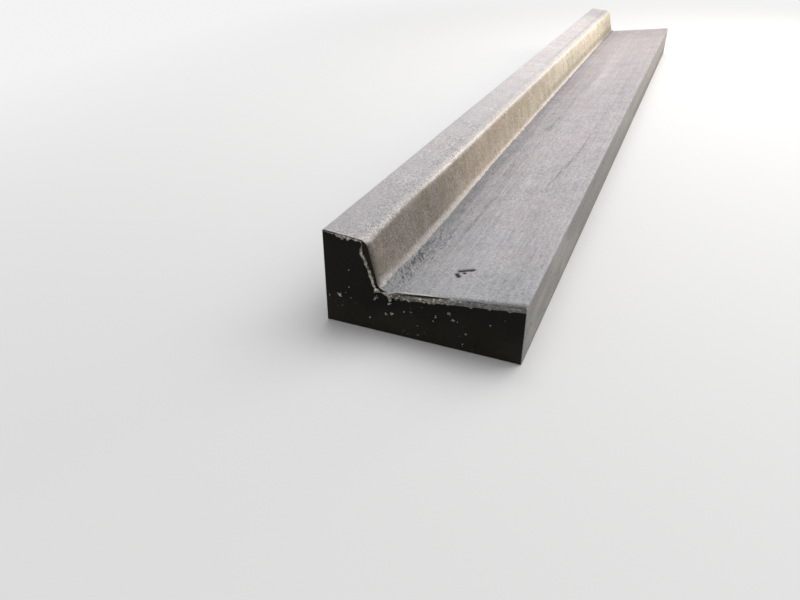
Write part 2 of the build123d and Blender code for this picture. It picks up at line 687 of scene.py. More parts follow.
@dataclass(frozen=True)
class MortarRim:
    """The mortar that leaked out at the stop board: past a gap of painted shadow along the bay's edge, a
    ragged band.

    Each set of five sizes is for the kerb's top, the upper and the lower end of its face, the near part of
    the pan and the rest of the pan. A lump has its place across, its reach and how far it hangs down.
    """

    bands: Bands
    gap_width: Sizes = (0.0026, 0.0205, 0.0100, 0.0062, 0.0)
    # How dark the painted shadow in the gap is, for each part.
    gap_painted_shade: Sizes = (0.75, 0.92, 0.92, 0.82, 0.0)
    band_height: Sizes = (0.0032, 0.0062, 0.0066, 0.0150, 0.0205)
    band_ragged: Sizes = (0.40, 0.40, 0.40, 0.22, 0.16)
    band_stand: Sizes = (0.0040, 0.0090, 0.0078, 0.0064, 0.0068)
    gap_wave: Wave = Wave(0.16, 44.0, shift=29.0)
    gap_break: Wave = Wave(1.0, 38.0, shift=31.0)
    ragged_wave: Wave = Wave(1.0, 48.0, shift=41.0, octaves=4)
    stand_wave: Wave = Wave(0.34, 52.0, 90.0, shift=43.0, octaves=4)
    lumps: tuple[tuple[float, float, float], ...] = (
        (0.052, 0.0045, 0.0060), (0.066, 0.0070, 0.0110), (0.084, 0.0055, 0.0095), (0.109, 0.0050, 0.0040),
        (0.283, 0.0030, 0.0100), (0.296, 0.0075, -0.0110), (0.316, 0.0045, 0.0260), (0.334, 0.0060, 0.0090),
        (0.352, 0.0060, 0.0050), (0.376, 0.0040, 0.0045), (0.437, 0.0040, 0.0040), (0.492, 0.0035, 0.0040),
        (0.560, 0.0040, 0.0045), (0.612, 0.0050, 0.0040), (0.668, 0.0040, 0.0035),
    )

    def along(self, u: float, sizes: Sizes) -> float:
        """Blend five sizes over the top line, from the back to the lip.

        Args:
            u: The place across.
            sizes: The sizes.

        Returns:
            The size at the place.
        """
        b = self.bands
        top, nose, foot, pan, lip = sizes
        size = top + (nose - top) * smooth_step(u, b.top, b.nose)
        size += (foot - size) * smooth_step(u, b.nose, b.face)
        size += (pan - size) * smooth_step(u, b.face + 0.01, b.fillet)
        return size + (lip - size) * smooth_step(u, 0.46, 0.54)

    def inner(self, u: float) -> float:
        """The depth at which the band starts."""
        inner = self.along(u, self.gap_width) + 0.0030 * bell(u, 0.415, 0.040)
        return inner * (1.0 + self.gap_wave.at(u)) * (1.0 - bell(u, self.bands.fillet + 0.014, 0.024))

    def height(self, u: float) -> float:
        """How high the band is, ragged along the edge."""
        ragged = self.along(u, self.band_ragged) * self.ragged_wave.at(u)
        return max(self.along(u, self.band_height) * (1.0 + ragged) + self.lump(u), 0.001)

    def lump(self, u: float) -> float:
        """How much higher the band is at a place for the lumps on it."""
        return sum(fall * bell(u, middle, reach) for middle, reach, fall in self.lumps)

    def gap(self, u: float, depth: float) -> float:
        """How dark the painted shadow is in the gap between the edge of the bay and the band.

        Args:
            u: The place across.
            depth: The depth.

        Returns:
            A number from 0 to 1.
        """
        inner = self.inner(u)
        if depth > inner or inner < 0.0008:
            return 0.0
        broken = smooth_step(self.gap_break.at(u), -0.45, -0.15)
        edge_from = -0.0010 + 0.0024 * smooth_step(u, 0.325, 0.350)
        edge = smooth_step(depth, edge_from, min(inner * 0.6, 0.006))
        return self.along(u, self.gap_painted_shade) * broken * edge * smooth_step(depth, inner, inner - 0.0015)

    def stand(self, u: float, depth: float) -> tuple[float, float]:
        """How far the mortar stands out of the stop end.

        Args:
            u: The place across.
            depth: The depth.

        Returns:
            The stand, and how much of what shows there is mortar, from 0 to 1.
        """
        inner = self.inner(u)
        share = (depth - inner) / self.height(u)
        covered = smooth_step(share, 1.10, 0.92) * smooth_step(share, -0.25, 0.0)
        lip = smooth_step(depth, 0.0036, 0.0014) * smooth_step(u, 0.330, 0.350) * smooth_step(u, 0.500, 0.440)
        joined = smooth_step(inner, 0.0030, 0.0006)
        quarter_round, half_round = max(1.0 - share ** 2, 0.0), max(1.0 - (2.0 * share - 1.0) ** 2, 0.0)
        across = joined * quarter_round + (1.0 - joined) * half_round
        thick = self.along(u, self.band_stand) * (1.0 + self.stand_wave.at(u, depth))
        return (thick + 0.35 * max(self.lump(u), 0.0)) * math.sqrt(across), max(covered, lip)


@dataclass(frozen=True)
class Crumb:
    """A crumb of mortar that stuck to the stop end, by its place from the back edge and above the bed."""

    across: float
    height: float
    reach: float

    def gap(self, x: float, z: float) -> float:
        """How far a place is from the middle of the crumb."""
        return math.hypot(x - self.across, z - self.height)

    def amount(self, x: float, z: float) -> float:
        """How much of the crumb there is at a place, from 0 to 1, with an uneven outline."""
        reach = self.reach * (0.85 + 0.9 * waver(x * 330.0, z * 330.0, self.across * 40.0, octaves=4))
        return bell(self.gap(x, z), 0.0, max(reach, 0.0005))


@dataclass
class Casting:
    """The bay as it was cast: its mesh, the relief on each surface, and its finishes."""

    section: Section
    stop_y: float
    joint_y: float
    name: str = "cast_kerb_and_gutter"
    sharp_angle: float = math.radians(50)
    side_wave: Wave = Wave(0.0005, 2.2, 7.0, shift=59.0, octaves=4)
    end_wave: Wave = Wave(0.0009, 14.0, 14.0, shift=57.0, octaves=4)
    bed_wave: Wave = Wave(0.00175, 16.0, 16.0, shift=53.0, octaves=4)
    root_wave: Wave = Wave(0.0011, 30.0, 30.0, shift=51.0, octaves=4)
    bed_margin: float = 0.05
    arris_reach: float = 0.002
    gouge_cuts: int = 3
    gouge_across: tuple[float, float] = (0.452, 0.528)
    gouge_along: tuple[float, float] = (0.112, 0.205)
    crumb_cuts: int = 7
    crumb_stand: float = 0.8
    smallest_cell: float = 0.003
    pit_cuts: int = 4
    pits_from: float = 0.05
    pit_room: float = 0.007
    pit_seed: int = 8
    loose_pits: int = 26
    shown_pits: tuple[tuple[float, float], ...] = (
        (0.512, 0.838), (0.680, 0.307), (0.652, 0.199), (0.705, 0.430),
        (0.591, 3.378), (0.622, 3.053), (0.623, 2.585), (0.379, 0.330),
    )
    crumbs: tuple[Crumb, ...] = (
        Crumb(0.198, 0.066, 0.0045), Crumb(0.217, 0.074, 0.0055), Crumb(0.277, 0.093, 0.0040),
        Crumb(0.354, 0.095, 0.0046), Crumb(0.347, 0.078, 0.0032), Crumb(0.392, 0.117, 0.0060),
        Crumb(0.405, 0.098, 0.0062), Crumb(0.417, 0.092, 0.0034), Crumb(0.048, 0.099, 0.0075),
        Crumb(0.014, 0.086, 0.0040), Crumb(0.079, 0.131, 0.0034), Crumb(0.082, 0.189, 0.0026),
        Crumb(0.020, 0.216, 0.0030), Crumb(0.145, 0.042, 0.0034), Crumb(0.255, 0.087, 0.0030),
        Crumb(0.018, 0.060, 0.0030), Crumb(0.512, 0.108, 0.0030), Crumb(0.445, 0.060, 0.0036),
        Crumb(0.162, 0.112, 0.0065), Crumb(0.169, 0.121, 0.0045), Crumb(0.209, 0.103, 0.0048),
    )

    def __post_init__(self) -> None:
        """Build the plain mesh, and place the air holes."""
        plain = KerbMesh(self.section, stop_y=self.stop_y, joint_y=self.joint_y)
        self.bm = plain.build()
        self.wall_y = plain.groove_wall_y
        self.line = TopLine(self.section.path())
        self.pits = self.draw_pits()

    def make(self) -> bpy.types.Object:
        """Finish the casting as one piece.

        Returns:
            The object, in its place and dressed.
        """
        refine(self.bm, self.at_gouge, self.gouge_cuts)
        refine(self.bm, self.at_crumb, self.crumb_cuts)
        refine(self.bm, self.at_pit, self.pit_cuts)
        self.mark_zones()
        self.map_surface()
        self.shape()
        mesh = bpy.data.meshes.new(self.name)
        self.bm.to_mesh(mesh)
        self.bm.free()
        self.dress(mesh)
        piece = bpy.data.objects.new(self.name, mesh)
        bpy.context.scene.collection.objects.link(piece)
        return piece

    def draw_pits(self) -> tuple[Pit, ...]:
        """Place the air holes: those that show near the stop end, and loose ones.

        Returns:
            The air holes.
        """
        draw = random.Random(self.pit_seed)
        width = self.section.bands().pan
        places = list(self.shown_pits)
        places += [(draw.uniform(0.02, width - 0.02), draw.uniform(0.1, 4.4)) for _ in range(self.loose_pits)]
        return tuple(Pit(across, along, draw.uniform(0.0016, 0.0027)) for across, along in places)

    def at_gouge(self, face: Face) -> bool:
        """Find out whether a face lies where the gouge is.

        Args:
            face: The face.

        Returns:
            True where it does.
        """
        middle = face.calc_center_median()
        if not self.gouge_along[0] < middle.y - self.stop_y < self.gouge_along[1]:
            return False
        u, depth = self.line.place(middle)
        return self.gouge_across[0] < u < self.gouge_across[1] and depth < self.section.edging_radius

    def at_crumb(self, face: Face) -> bool:
        """Find out whether a crumb of mortar sticks to a face of the stop end's grid.

        Args:
            face: The face.

        Returns:
            True where one does.
        """
        middle = face.calc_center_median()
        if middle.y > self.stop_y + SAME:
            return False
        x, z = middle.x - self.section.back_x, middle.z - self.section.bed_z
        half = math.sqrt(face.calc_area()) / 2
        near = any(crumb.gap(x, z) < half + 2.0 * crumb.reach for crumb in self.crumbs)
        return near and half > self.smallest_cell

    def at_pit(self, face: Face) -> bool:
        """Find out whether a face lies where an air hole is.

        Args:
            face: The face.

        Returns:
            True where it does.
        """
        middle = face.calc_center_median()
        v = middle.y - self.stop_y
        spare = max(vert.co.y for vert in face.verts) - middle.y
        if v < self.pits_from or not any(abs(pit.along - v) < spare + self.pit_room for pit in self.pits):
            return False
        u, depth = self.line.place(middle)
        return depth < self.section.edging_radius and any(pit.near(u, v, spare) for pit in self.pits)

    def zone(self, middle: Vector) -> Zone:
        """Tell the surface that a face belongs to by its middle, before the relief.

        Args:
            middle: The middle of the face.

        Returns:
            The surface.
        """
        s = self.section
        if middle.y < self.stop_y + SAME:
            return Zone.STOP_END
        if abs(middle.y - self.wall_y) < SAME:
            return Zone.GROOVE_WALL
        if middle.y > self.wall_y:
            return Zone.JOINT_END
        if middle.z < s.bed_z + s.edging_radius / 2:
            return Zone.BED
        if middle.x < s.back_x + NEAR or middle.x > s.lip_x - NEAR:
            return Zone.FORMED
        return Zone.STRUCK

    def mark_zones(self) -> None:
        """Give each face the material of its zone, and keep the true corners sharp."""
        for face in self.bm.faces:
            face.material_index = self.zone(face.calc_center_median()).value
            face.smooth = True
        for edge in self.bm.edges:
            edge.smooth = edge.calc_face_angle(0.0) < self.sharp_angle

    def map_surface(self) -> None:
        """Unroll the top line into a map of u and v, before the relief."""
        layer = self.bm.loops.layers.uv.new("surface")
        for face in self.bm.faces:
            for loop in face.loops:
                co = loop.vert.co
                loop[layer].uv = (self.line.place(co)[0], co.y - self.stop_y)

    def shape(self) -> None:
        """Press the relief into the mesh, and note at its vertices where mortar, shade and smears lie."""
        s = self.section
        rim, relief = MortarRim(s.bands()), Relief(s.bands(), self.pits)
        layers = self.bm.verts.layers.float
        # The dark layer holds painted shade: the gap behind the mortar band, the gouge, the pits and the
        # slumped stop end.
        mortar, dark, smear = layers.new("mortar"), layers.new("dark"), layers.new("smear")
        self.bm.normal_update()
        for vert in self.bm.verts:
            co, normal = vert.co.copy(), vert.normal.copy()
            u, depth = self.line.place(co)
            v = co.y - self.stop_y
            if co.y > self.wall_y - SAME:
                if co.y > self.wall_y + SAME and co.z > s.bed_z + NEAR:
                    vert.co.y -= self.root_wave.height + self.root_wave.at(co.x, co.z)
                continue
            if co.z < s.bed_z + NEAR:
                inside = smooth_step(min(co.x - s.back_x, s.lip_x - co.x), 0.0, self.bed_margin)
                vert.co.z += inside * (self.bed_wave.height + self.bed_wave.at(co.x, co.y))
                continue
            if v < self.arris_reach:
                stand, vert[mortar] = rim.stand(u, depth)
                vert[dark] = rim.gap(u, depth)
                if v < SAME:
                    x, z = co.x - s.back_x, co.z - s.bed_z
                    amount, reach = max((crumb.amount(x, z), crumb.reach) for crumb in self.crumbs)
                    stand += self.end_wave.at(co.x, co.z) + amount * reach * self.crumb_stand
                    vert[mortar] = max(vert[mortar], smooth_step(amount, 0.25, 0.60))
                vert.co.y -= stand
            if depth < s.edging_radius + NEAR:
                vert[dark] = max(vert[dark], relief.shade(u, v))
                vert[smear] = relief.smear(u, v)
                vert.co += normal * relief.height(u, v)
            elif v > self.arris_reach:
                vert.co += normal * self.side_wave.at(co.y, co.z)

    def dress(self, mesh: bpy.types.Mesh) -> None:
        """Give the mesh the finish of each zone, in the order of the zones' values.

        Args:
            mesh: The finished mesh.
        """
        finishes = {
            Zone.STRUCK: StruckFinish(self.section.bands()),
            Zone.FORMED: FormedFinish(),
            Zone.STOP_END: StopEndFinish(),
            Zone.JOINT_END: JointFinish(),
            Zone.BED: BedFinish(),
            Zone.GROOVE_WALL: GrooveWallFinish(),
        }
        for zone in sorted(finishes, key=lambda z: z.value):
            mesh.materials.append(finishes[zone].make())


class Shade:
    """A socket of a tree. Python's operators on it add Math nodes."""

    def __init__(self, tree: "Tree", socket: bpy.types.NodeSocket) -> None:
        """Wrap a socket of a tree."""
        self.tree = tree
        self.socket = socket

    def __add__(self, other: "Shade | float") -> "Shade":
        """Add a value."""
        return self.tree.math("ADD", self, other)

    def __sub__(self, other: "Shade | float") -> "Shade":
        """Take a value away."""
        return self.tree.math("SUBTRACT", self, other)

    def __rsub__(self, other: float) -> "Shade":
        """Take this value away from a number."""
        return self.tree.math("SUBTRACT", other, self)

    def __mul__(self, other: "Shade | float") -> "Shade":
        """Multiply by a value."""
        return self.tree.math("MULTIPLY", self, other)

    __radd__ = __add__
    __rmul__ = __mul__

    def blend(self, other: "Shade | Colour", share: "Shade | float") -> "Shade":
        """Mix this colour with another by a share of the other."""
        return self.tree.mix(self, other, share)

    def lit(self, amount: "Shade | float") -> "Shade":
        """Brighten or darken this colour by a factor."""
        scaled = {"Vector": self, "Scale": amount}
        return self.tree.node("ShaderNodeVectorMath", {"operation": "SCALE"}, scaled)

    def times(self, other: "Shade | Colour") -> "Shade":
        """Multiply this colour or vector by another, each channel by itself."""
        return self.tree.node("ShaderNodeVectorMath", {"operation": "MULTIPLY"}, {0: self, 1: other})


class Tree:
    """Builds the nodes of a material or a world."""

    def __init__(self, owner: bpy.types.Material | bpy.types.World) -> None:
        """Start with an empty tree.

        Args:
            owner: The material or the world that the tree belongs to.
        """
        owner.use_nodes = True
        self.owner = owner
        self.nodes = owner.node_tree.nodes
        self.links = owner.node_tree.links
        self.nodes.clear()

    def node(
        self,
        kind: str,
        settings: dict[str, object] | None = None,
        inputs: "dict[str | int, Shade | Colour | float] | None" = None,
        output: str | int = 0,
    ) -> Shade:
        """Add a node.

        Args:
            kind: The node's type.
            settings: Its settings, which are set first.
            inputs: The value or link of each of its sockets.
            output: The output that is wanted.

        Returns:
            The output as a shade.
        """
        made = self.nodes.new(kind)
        for key, value in (settings or {}).items():
            setattr(made, key, value)
        for key, value in (inputs or {}).items():
            socket = made.inputs[key]
            if isinstance(value, Shade):
                self.links.new(value.socket, socket)
            elif isinstance(value, tuple) and socket.type == "RGBA":
                socket.default_value = (*value, 1.0)
            else:
                socket.default_value = value
        return Shade(self, made.outputs[output])

    def math(self, operation: str, a: Shade | float, b: Shade | float) -> Shade:
        """Add a Math node on two values."""
        return self.node("ShaderNodeMath", {"operation": operation}, {0: a, 1: b})

    def mix(self, a: Shade | Colour, b: Shade | Colour, share: Shade | float) -> Shade:
        """Mix two colours by a share of the second."""
        return self.node("ShaderNodeMix", {"data_type": "RGBA"}, {0: share, 6: a, 7: b}, output=2)

    def rise(self, value: Shade, low: float, high: float) -> Shade:
        """Rise smoothly from 0 where a value is low to 1 where it is high. Low may be above high."""
        ends = {"Value": value, "From Min": low, "From Max": high}
        return self.node("ShaderNodeMapRange", {"interpolation_type": "SMOOTHSTEP"}, ends)

    def object_place(self) -> Shade:
        """The place on the object, in metres."""
        return self.node("ShaderNodeTexCoord", output="Object")

    def surface_place(self) -> Shade:
        """The place on the unrolled top line, in metres."""
        return self.node("ShaderNodeUVMap", {"uv_map": "surface"})

    def parts(self, vector: Shade) -> list[Shade]:
        """The three parts of a vector."""
        split = self.node("ShaderNodeSeparateXYZ", inputs={"Vector": vector})
        return [Shade(self, output) for output in split.socket.node.outputs]

    def painted(self, name: str) -> Shade:
        """A value that the mesh holds at its vertices."""
        return self.node("ShaderNodeAttribute", {"attribute_name": name}, output="Fac")

    def noise(
        self, place: Shade, per_metre: float | Colour, detail: float, shift: float, warp: float = 0.0
    ) -> Shade:
        """Add a noise, spread evenly about zero, mostly from -0.3 to 0.3.

        Args:
            place: The place that it reads.
            per_metre: How many waves it has in a metre, or in a metre along each axis.
            detail: How many finer layers it has.
            shift: How far the pattern is moved, to tell it from others.
            warp: How much it is distorted.

        Returns:
            The noise.
        """
        scale = per_metre if isinstance(per_metre, tuple) else (per_metre, per_metre, per_metre)
        spread = {0: place, 1: scale, 2: (shift, -shift, shift / 2)}
        moved = self.node("ShaderNodeVectorMath", {"operation": "MULTIPLY_ADD"}, spread)
        sockets = {"Vector": moved, "Scale": 1.0, "Detail": detail, "Distortion": warp}
        return self.node("ShaderNodeTexNoise", inputs=sockets) - 0.5

    def cells(
        self, place: Shade, per_metre: float, measure: Cells = Cells.NEAREST, output: str = "Distance"
    ) -> Shade:
        """Add a cell pattern, for stones and specks.

        Args:
            place: The place that it reads.
            per_metre: How many cells it has in a metre.
            measure: What it measures.
            output: The output that is wanted.

        Returns:
            The pattern.
        """
        sockets = {"Vector": place, "Scale": per_metre}
        return self.node("ShaderNodeTexVoronoi", {"feature": measure.value}, sockets, output=output)

    def close(self, shader: Shade) -> bpy.types.Material | bpy.types.World:
        """Send a shader to the tree's output.

        Args:
            shader: The shader.

        Returns:
            The tree's material or world.
        """
        of_world = isinstance(self.owner, bpy.types.World)
        end = self.nodes.new("ShaderNodeOutputWorld" if of_world else "ShaderNodeOutputMaterial")
        self.links.new(shader.socket, end.inputs["Surface"])
        return self.owner


class ConcreteTree(Tree):
    """The tree of a concrete surface, which holds the place that its patterns read."""

    def __init__(self, name: str) -> None:
        """Start a material."""
        super().__init__(bpy.data.materials.new(name))
        self.around = self.object_place()

    def grains(self, per_metre: float | Colour, detail: float, shift: float) -> Shade:
        """A noise that reads the place on the object."""
        return self.noise(self.around, per_metre, detail, shift)

    def finish(
        self, colour: Shade | Colour, roughness: Shade | float, height: Shade, gloss: float = 0.4
    ) -> bpy.types.Material:
        """Close the tree with a matt shader.

        Args:
            colour: The colour.
            roughness: The roughness.
            height: The height of the fine relief, in metres.
            gloss: The strength of the surface's reflection, where 0.5 is that of plain stone.

        Returns:
            The material.
        """
        normal = self.node("ShaderNodeBump", inputs={"Strength": 1.0, "Distance": 1.0, "Height": height})
        matt = {"Base Color": colour, "Roughness": roughness, "Normal": normal, "Specular IOR Level": gloss}
        return self.close(self.node("ShaderNodeBsdfPrincipled", inputs=matt))


class StruckTree(ConcreteTree):
    """The tree of the struck surfaces, with the patterns and masks that more than one thing follows."""

    def __init__(self, bands: Bands, strip_from: float, strip_to: float) -> None:
        """Start the material.

        Args:
            bands: Where the surfaces of the top line end.
            strip_from: Where the pale strip along the foot of the face starts.
            strip_to: Where it ends, and the pan starts.
        """
        super().__init__("struck_concrete")
        self.surface = self.surface_place()
        self.u, self.v, _ = self.parts(self.surface)
        self.cloud = self.grains(2.3, 2, 4.0)
        self.blotch = self.grains(11.0, 4, 9.0)
        self.grain = self.grains(85.0, 3, 1.0)
        self.fine = self.grains(230.0, 2, 2.0)
        self.streak = self.streaks((125.0, 2.0), 4, 5.0)
        ragged = self.noise(self.surface, 70.0, 4, 3.0) * 0.030
        away = self.along(0.5, 1.3)
        wander = ragged * (0.30 + 0.25 * away)
        late = 2.0 * self.along(1.9, 2.6) - 1.0
        by_face = self.u + wander + 0.003 * away * late + 0.009 * self.along(0.15, 0.04)
        self.by_strip = self.u + wander + 0.007 * away + 0.006 * self.along(0.27, 0.14)
        low_nose = 0.006 * self.along(0.7, 0.3) * self.along(0.10, 0.26)
        self.on_nose = self.across(bands.top - 0.007, bands.top + 0.014)
        self.by_nose = self.on_nose * self.across(bands.nose, bands.top - 0.01)
        self.on_face = self.rise(self.u + ragged * 0.35 + low_nose, bands.nose - 0.018, bands.nose - 0.004)
        # A painted glint along the edge of the nose.
        crest_glint = self.rise(self.u + ragged * 0.2, bands.nose - 0.026, bands.nose - 0.018)
        self.crest_glint = crest_glint * (1.0 - self.on_face) * self.along(0.3, 0.6)
        self.on_pan = self.rise(self.by_strip, strip_to - 0.003, strip_to + 0.001)
        strip = self.rise(by_face, strip_from - 0.006, strip_from + 0.020) * (1.0 - self.on_pan)
        self.strip = strip * (1.0 - self.along(3.4, 4.2) * 0.85)
        # The pan beside the foot of the face is painted darker as the kerb's shade, partly damp.
        beside = self.across(bands.fillet + 0.062, strip_to, streaked=0.04)
        self.foot = self.on_pan * beside * (1.0 - self.along(1.4, 4.0) * 0.2)

    def streaks(
        self, per_metre: tuple[float, float], detail: float, shift: float, warp: float = 0.0
    ) -> Shade:
        """A noise over the unrolled top line, by how many waves it has in a metre across and along."""
        return self.noise(self.surface, (*per_metre, 1.0), detail, shift, warp)

    def along(self, start: float, end: float) -> Shade:
        """Rise from 0 at one distance along the bay to 1 at another, which may be the nearer."""
        return self.rise(self.v, start, end)

    def across(self, start: float, end: float, streaked: float = 0.0) -> Shade:
        """Rise likewise over the top line. The streaks along the bay shift the rise by streaked."""
        return self.rise(self.u + self.streak * streaked if streaked else self.u, start, end)


@dataclass(frozen=True)
class StruckFinish:
    """The struck and trowelled surfaces, painted from grey to pale away from the stop end: partly drying,
    partly painted light, with shade at the stop end and low sunlight further along.
    """

    bands: Bands
    # The damp colours are partly painted shade and the dry ones partly painted sunlight. The nose and the
    # strip are lighter for the paste rubbed on them and for a painted sky reflection.
    top_damp_and_shaded: Colour = (0.405, 0.388, 0.398)
    top_dry_and_lit: Colour = (0.654, 0.613, 0.612)
    nose_damp_and_shaded: Colour = (0.490, 0.462, 0.450)
    nose_dry_and_lit: Colour = (0.710, 0.655, 0.595)
    # The face's brown and yellow are partly painted warm light: shade and reflected soil colour near the stop
    # end, low sunlight further along.
    face_damp_and_shaded: Colour = (0.262, 0.230, 0.204)
    face_dry_and_lit: Colour = (0.495, 0.410, 0.335)
    face_driest_and_sunlit: Colour = (0.720, 0.640, 0.520)
    face_olive: Colour = (0.84, 0.86, 0.76)
    strip_damp_and_shaded: Colour = (0.372, 0.348, 0.337)
    strip_dry_and_lit: Colour = (0.745, 0.683, 0.628)
    pan_damp_and_shaded: Colour = (0.295, 0.296, 0.306)
    pan_dry_and_lit: Colour = (0.478, 0.447, 0.462)
    pan_driest_and_lit: Colour = (0.494, 0.454, 0.458)
    # Painted shade beside the kerb's foot, partly damp.
    foot_damp_and_shaded: Colour = (0.250, 0.253, 0.262)
    foot_dry_and_shaded: Colour = (0.370, 0.347, 0.368)
    pink: Colour = (1.014, 0.996, 1.0)
    blue: Colour = (0.988, 1.0, 1.010)
    mortar: Colour = (0.480, 0.450, 0.360)
    # Painted shade for the gouge, the pits, the gap behind the mortar and the slumped stop end.
    painted_shade_dark: Colour = (0.022, 0.020, 0.015)
    strip_from: float = 0.268
    strip_to: float = 0.295
    # Where the drying and the painted light start and end along the bay.
    dry_from: float = -0.8
    dry_to: float = 2.9
    pan_dry_from: float = -0.45
    pan_dry_to: float = 1.25

    def make(self) -> bpy.types.Material:
        """Build the material.

        Returns:
            The material of the top line.
        """
        tree = StruckTree(self.bands, self.strip_from, self.strip_to)
        # These masks are partly drying and partly painted light: shade near the stop end, sunlight further
        # along.
        dry = tree.rise(tree.v + tree.cloud, self.dry_from, self.dry_to)
        pan_dry_and_lit = tree.rise(tree.v + tree.cloud * 0.7, self.pan_dry_from, self.pan_dry_to)
        # The dark holes are painted shade in small pits.
        holes = tree.rise(tree.grains(135.0, 1, 7.0), -0.14, -0.23) * (tree.by_nose + 0.25)
        dashes, ridge_highlights = self.foot_marks(tree)
        scratch = tree.streaks((310.0, 7.0), 2, 41.0)
        smears = tree.painted("smear") * tree.rise(scratch, -0.16, 0.06)
        light = self.grit(tree, pan_dry_and_lit) + self.drag_lines(tree) + self.edge_lines(tree)
        # The dashes darken as painted shade in the trowel's nicks and drags, and the bits between them get a
        # painted highlight.
        light = light + ridge_highlights * 0.22 - holes * 0.60 - dashes * 0.44 - smears * 0.64
        # Painted shade darkens the last stretch before the joint end.
        light = light * (1.0 - (0.22 - 0.15 * tree.on_pan) * tree.along(3.9, 4.35))
        colour = self.ground(tree, dry, pan_dry_and_lit).lit(light)
        colour = colour.blend(self.mortar, tree.painted("mortar") * 0.5)
        # Blend in the painted shade held in the dark layer.
        colour = colour.blend(self.painted_shade_dark, tree.painted("dark"))
        roughness = 0.62 + 0.24 * dry + tree.fine * 0.2 - tree.foot * 0.08
        height = tree.fine * 0.0012 + tree.grain * 0.0018 - holes * 0.0010 - dashes * 0.0008
        height = height + tree.streak * 0.0005 * tree.on_pan + tree.blotch * 0.0010 + tree.strip * 0.0012
        return tree.finish(colour, roughness, height)

    def ground(self, tree: StruckTree, dry: Shade, pan_dry_and_lit: Shade) -> Shade:
        """Lay down the colour of each surface, from damp and painted shade to dry and painted light.

        Args:
            tree: The material's tree.
            dry: How dry the kerb is, and how far it is painted from shade into light.
            pan_dry_and_lit: How dry the pan is, and how far it is painted from shade into light.

        Returns:
            The colour.
        """
        colour = tree.mix(self.top_damp_and_shaded, self.top_dry_and_lit, dry)
        colour = colour.blend(tree.mix(self.nose_damp_and_shaded, self.nose_dry_and_lit, dry), tree.on_nose)
        colour = colour.blend(self.face(tree, dry), tree.on_face)
        pan = tree.mix(self.pan_damp_and_shaded, self.pan_dry_and_lit, pan_dry_and_lit).blend(self.pan_driest_and_lit, tree.along(2.0, 3.7))
        colour = colour.blend(pan, tree.on_pan)
        colour = colour.blend(tree.mix(self.foot_damp_and_shaded, self.foot_dry_and_shaded, tree.along(0.6, 2.1)), tree.foot)
        colour = colour.blend(tree.mix(self.strip_damp_and_shaded, self.strip_dry_and_lit, tree.along(0.0, 1.5)), tree.strip)
        pale = tree.rise(tree.grains(5.0, 3, 15.0), -0.10, 0.12)
        return colour.times(tree.mix(self.blue, self.pink, pale))

    def face(self, tree: StruckTree, dry: Shade) -> Shade:
        """Colour the kerb's face, which ripples across its length, is mottled with olive and carries painted
        sunlight and shade.

        Args:
            tree: The material's tree.
            dry: How dry the kerb is, and how far it is painted from shade into light.

        Returns:
            The colour.
        """
        face = tree.mix(self.face_damp_and_shaded, self.face_dry_and_lit, tree.rise(tree.v + tree.cloud * 0.6, 0.38, 1.08))
        face = face.blend(self.face_driest_and_sunlit, tree.rise(tree.v + tree.cloud * 0.8, 1.1, 2.9))
        olive = tree.rise(tree.grains(17.0, 4, 12.0), -0.04, 0.12)
        face = face.blend(face.times(self.face_olive), olive * 0.75)
        # low, high and far are painted light: brighter and darker bands where sun and shade fall on the face.
        low = tree.across(0.225, 0.250) * (0.11 * tree.along(2.0, 1.2) - 0.24 * tree.along(1.9, 2.6))
        high = tree.across(0.205, 0.160) * tree.along(2.2, 3.0) * 0.20
        far = tree.across(0.255, 0.225) * tree.along(3.1, 3.7) * 0.08
        ripple = tree.streaks((8.0, 38.0), 3, 8.0, warp=0.6)
        return face.lit(1.0 + ripple * (0.15 + 0.35 * dry) + low + high + far)

    def grit(self, tree: StruckTree, pan_dry_and_lit: Shade) -> Shade:
        """How much lighter each place is for the grain of the paste, crisp on the kerb and calm on the pan.

        Args:
            tree: The material's tree.
            pan_dry_and_lit: How dry the pan is, and how far it is painted from shade into light.

        Returns:
            The factor of light, about 1.
        """
        flecks = tree.rise(tree.streaks((170.0, 110.0), 1, 22.0), -0.12, -0.23)
        sparks = tree.rise(tree.streaks((190.0, 130.0), 1, 24.0), 0.13, 0.23)
        worn = tree.rise(tree.grains(8.0, 3, 26.0), -0.08, 0.10)
        calm = tree.on_pan * (0.42 + 0.08 * pan_dry_and_lit + 0.20 * tree.along(1.4, 3.0)) + 0.4 * tree.strip
        near_top = tree.across(0.03, 0.10) * (1.0 - tree.on_face) * tree.along(1.8, 0.5)
        near_nose = tree.by_nose * tree.along(2.2, 0.9)
        crisp = (0.55 + 0.6 * worn) * (1.0 - calm) + 0.36 * tree.on_face
        crisp = crisp + 0.45 * near_top * (1.0 - tree.on_pan)
        light = 1.0 + tree.blotch * 0.34 + (tree.grain * 0.70 + tree.fine * 1.50) * crisp
        light = light + sparks * (0.18 + 0.16 * near_nose + 0.10 * near_top)
        return light - flecks * (0.18 + 0.26 * near_nose + 0.28 * near_top)

    def drag_lines(self, tree: StruckTree) -> Shade:
        """How much lighter each place is for what the tools dragged along the bay, for a painted sheen on the
        pan near the stop end and for a painted shade line on the top beside the nose.

        Args:
            tree: The material's tree.

        Returns:
            The light to add.
        """
        tail = tree.on_pan * tree.across(0.475, 0.375, streaked=0.05) * tree.along(0.3, 0.8)
        tail = tail * (1.0 - 0.6 * tree.along(2.4, 3.4))
        pale_run = tree.across(0.425, 0.460, streaked=0.04) * tree.across(0.525, 0.490)
        pale_run = pale_run * tree.along(2.1, 2.9) * (1.0 - 0.8 * tree.along(3.3, 3.8))
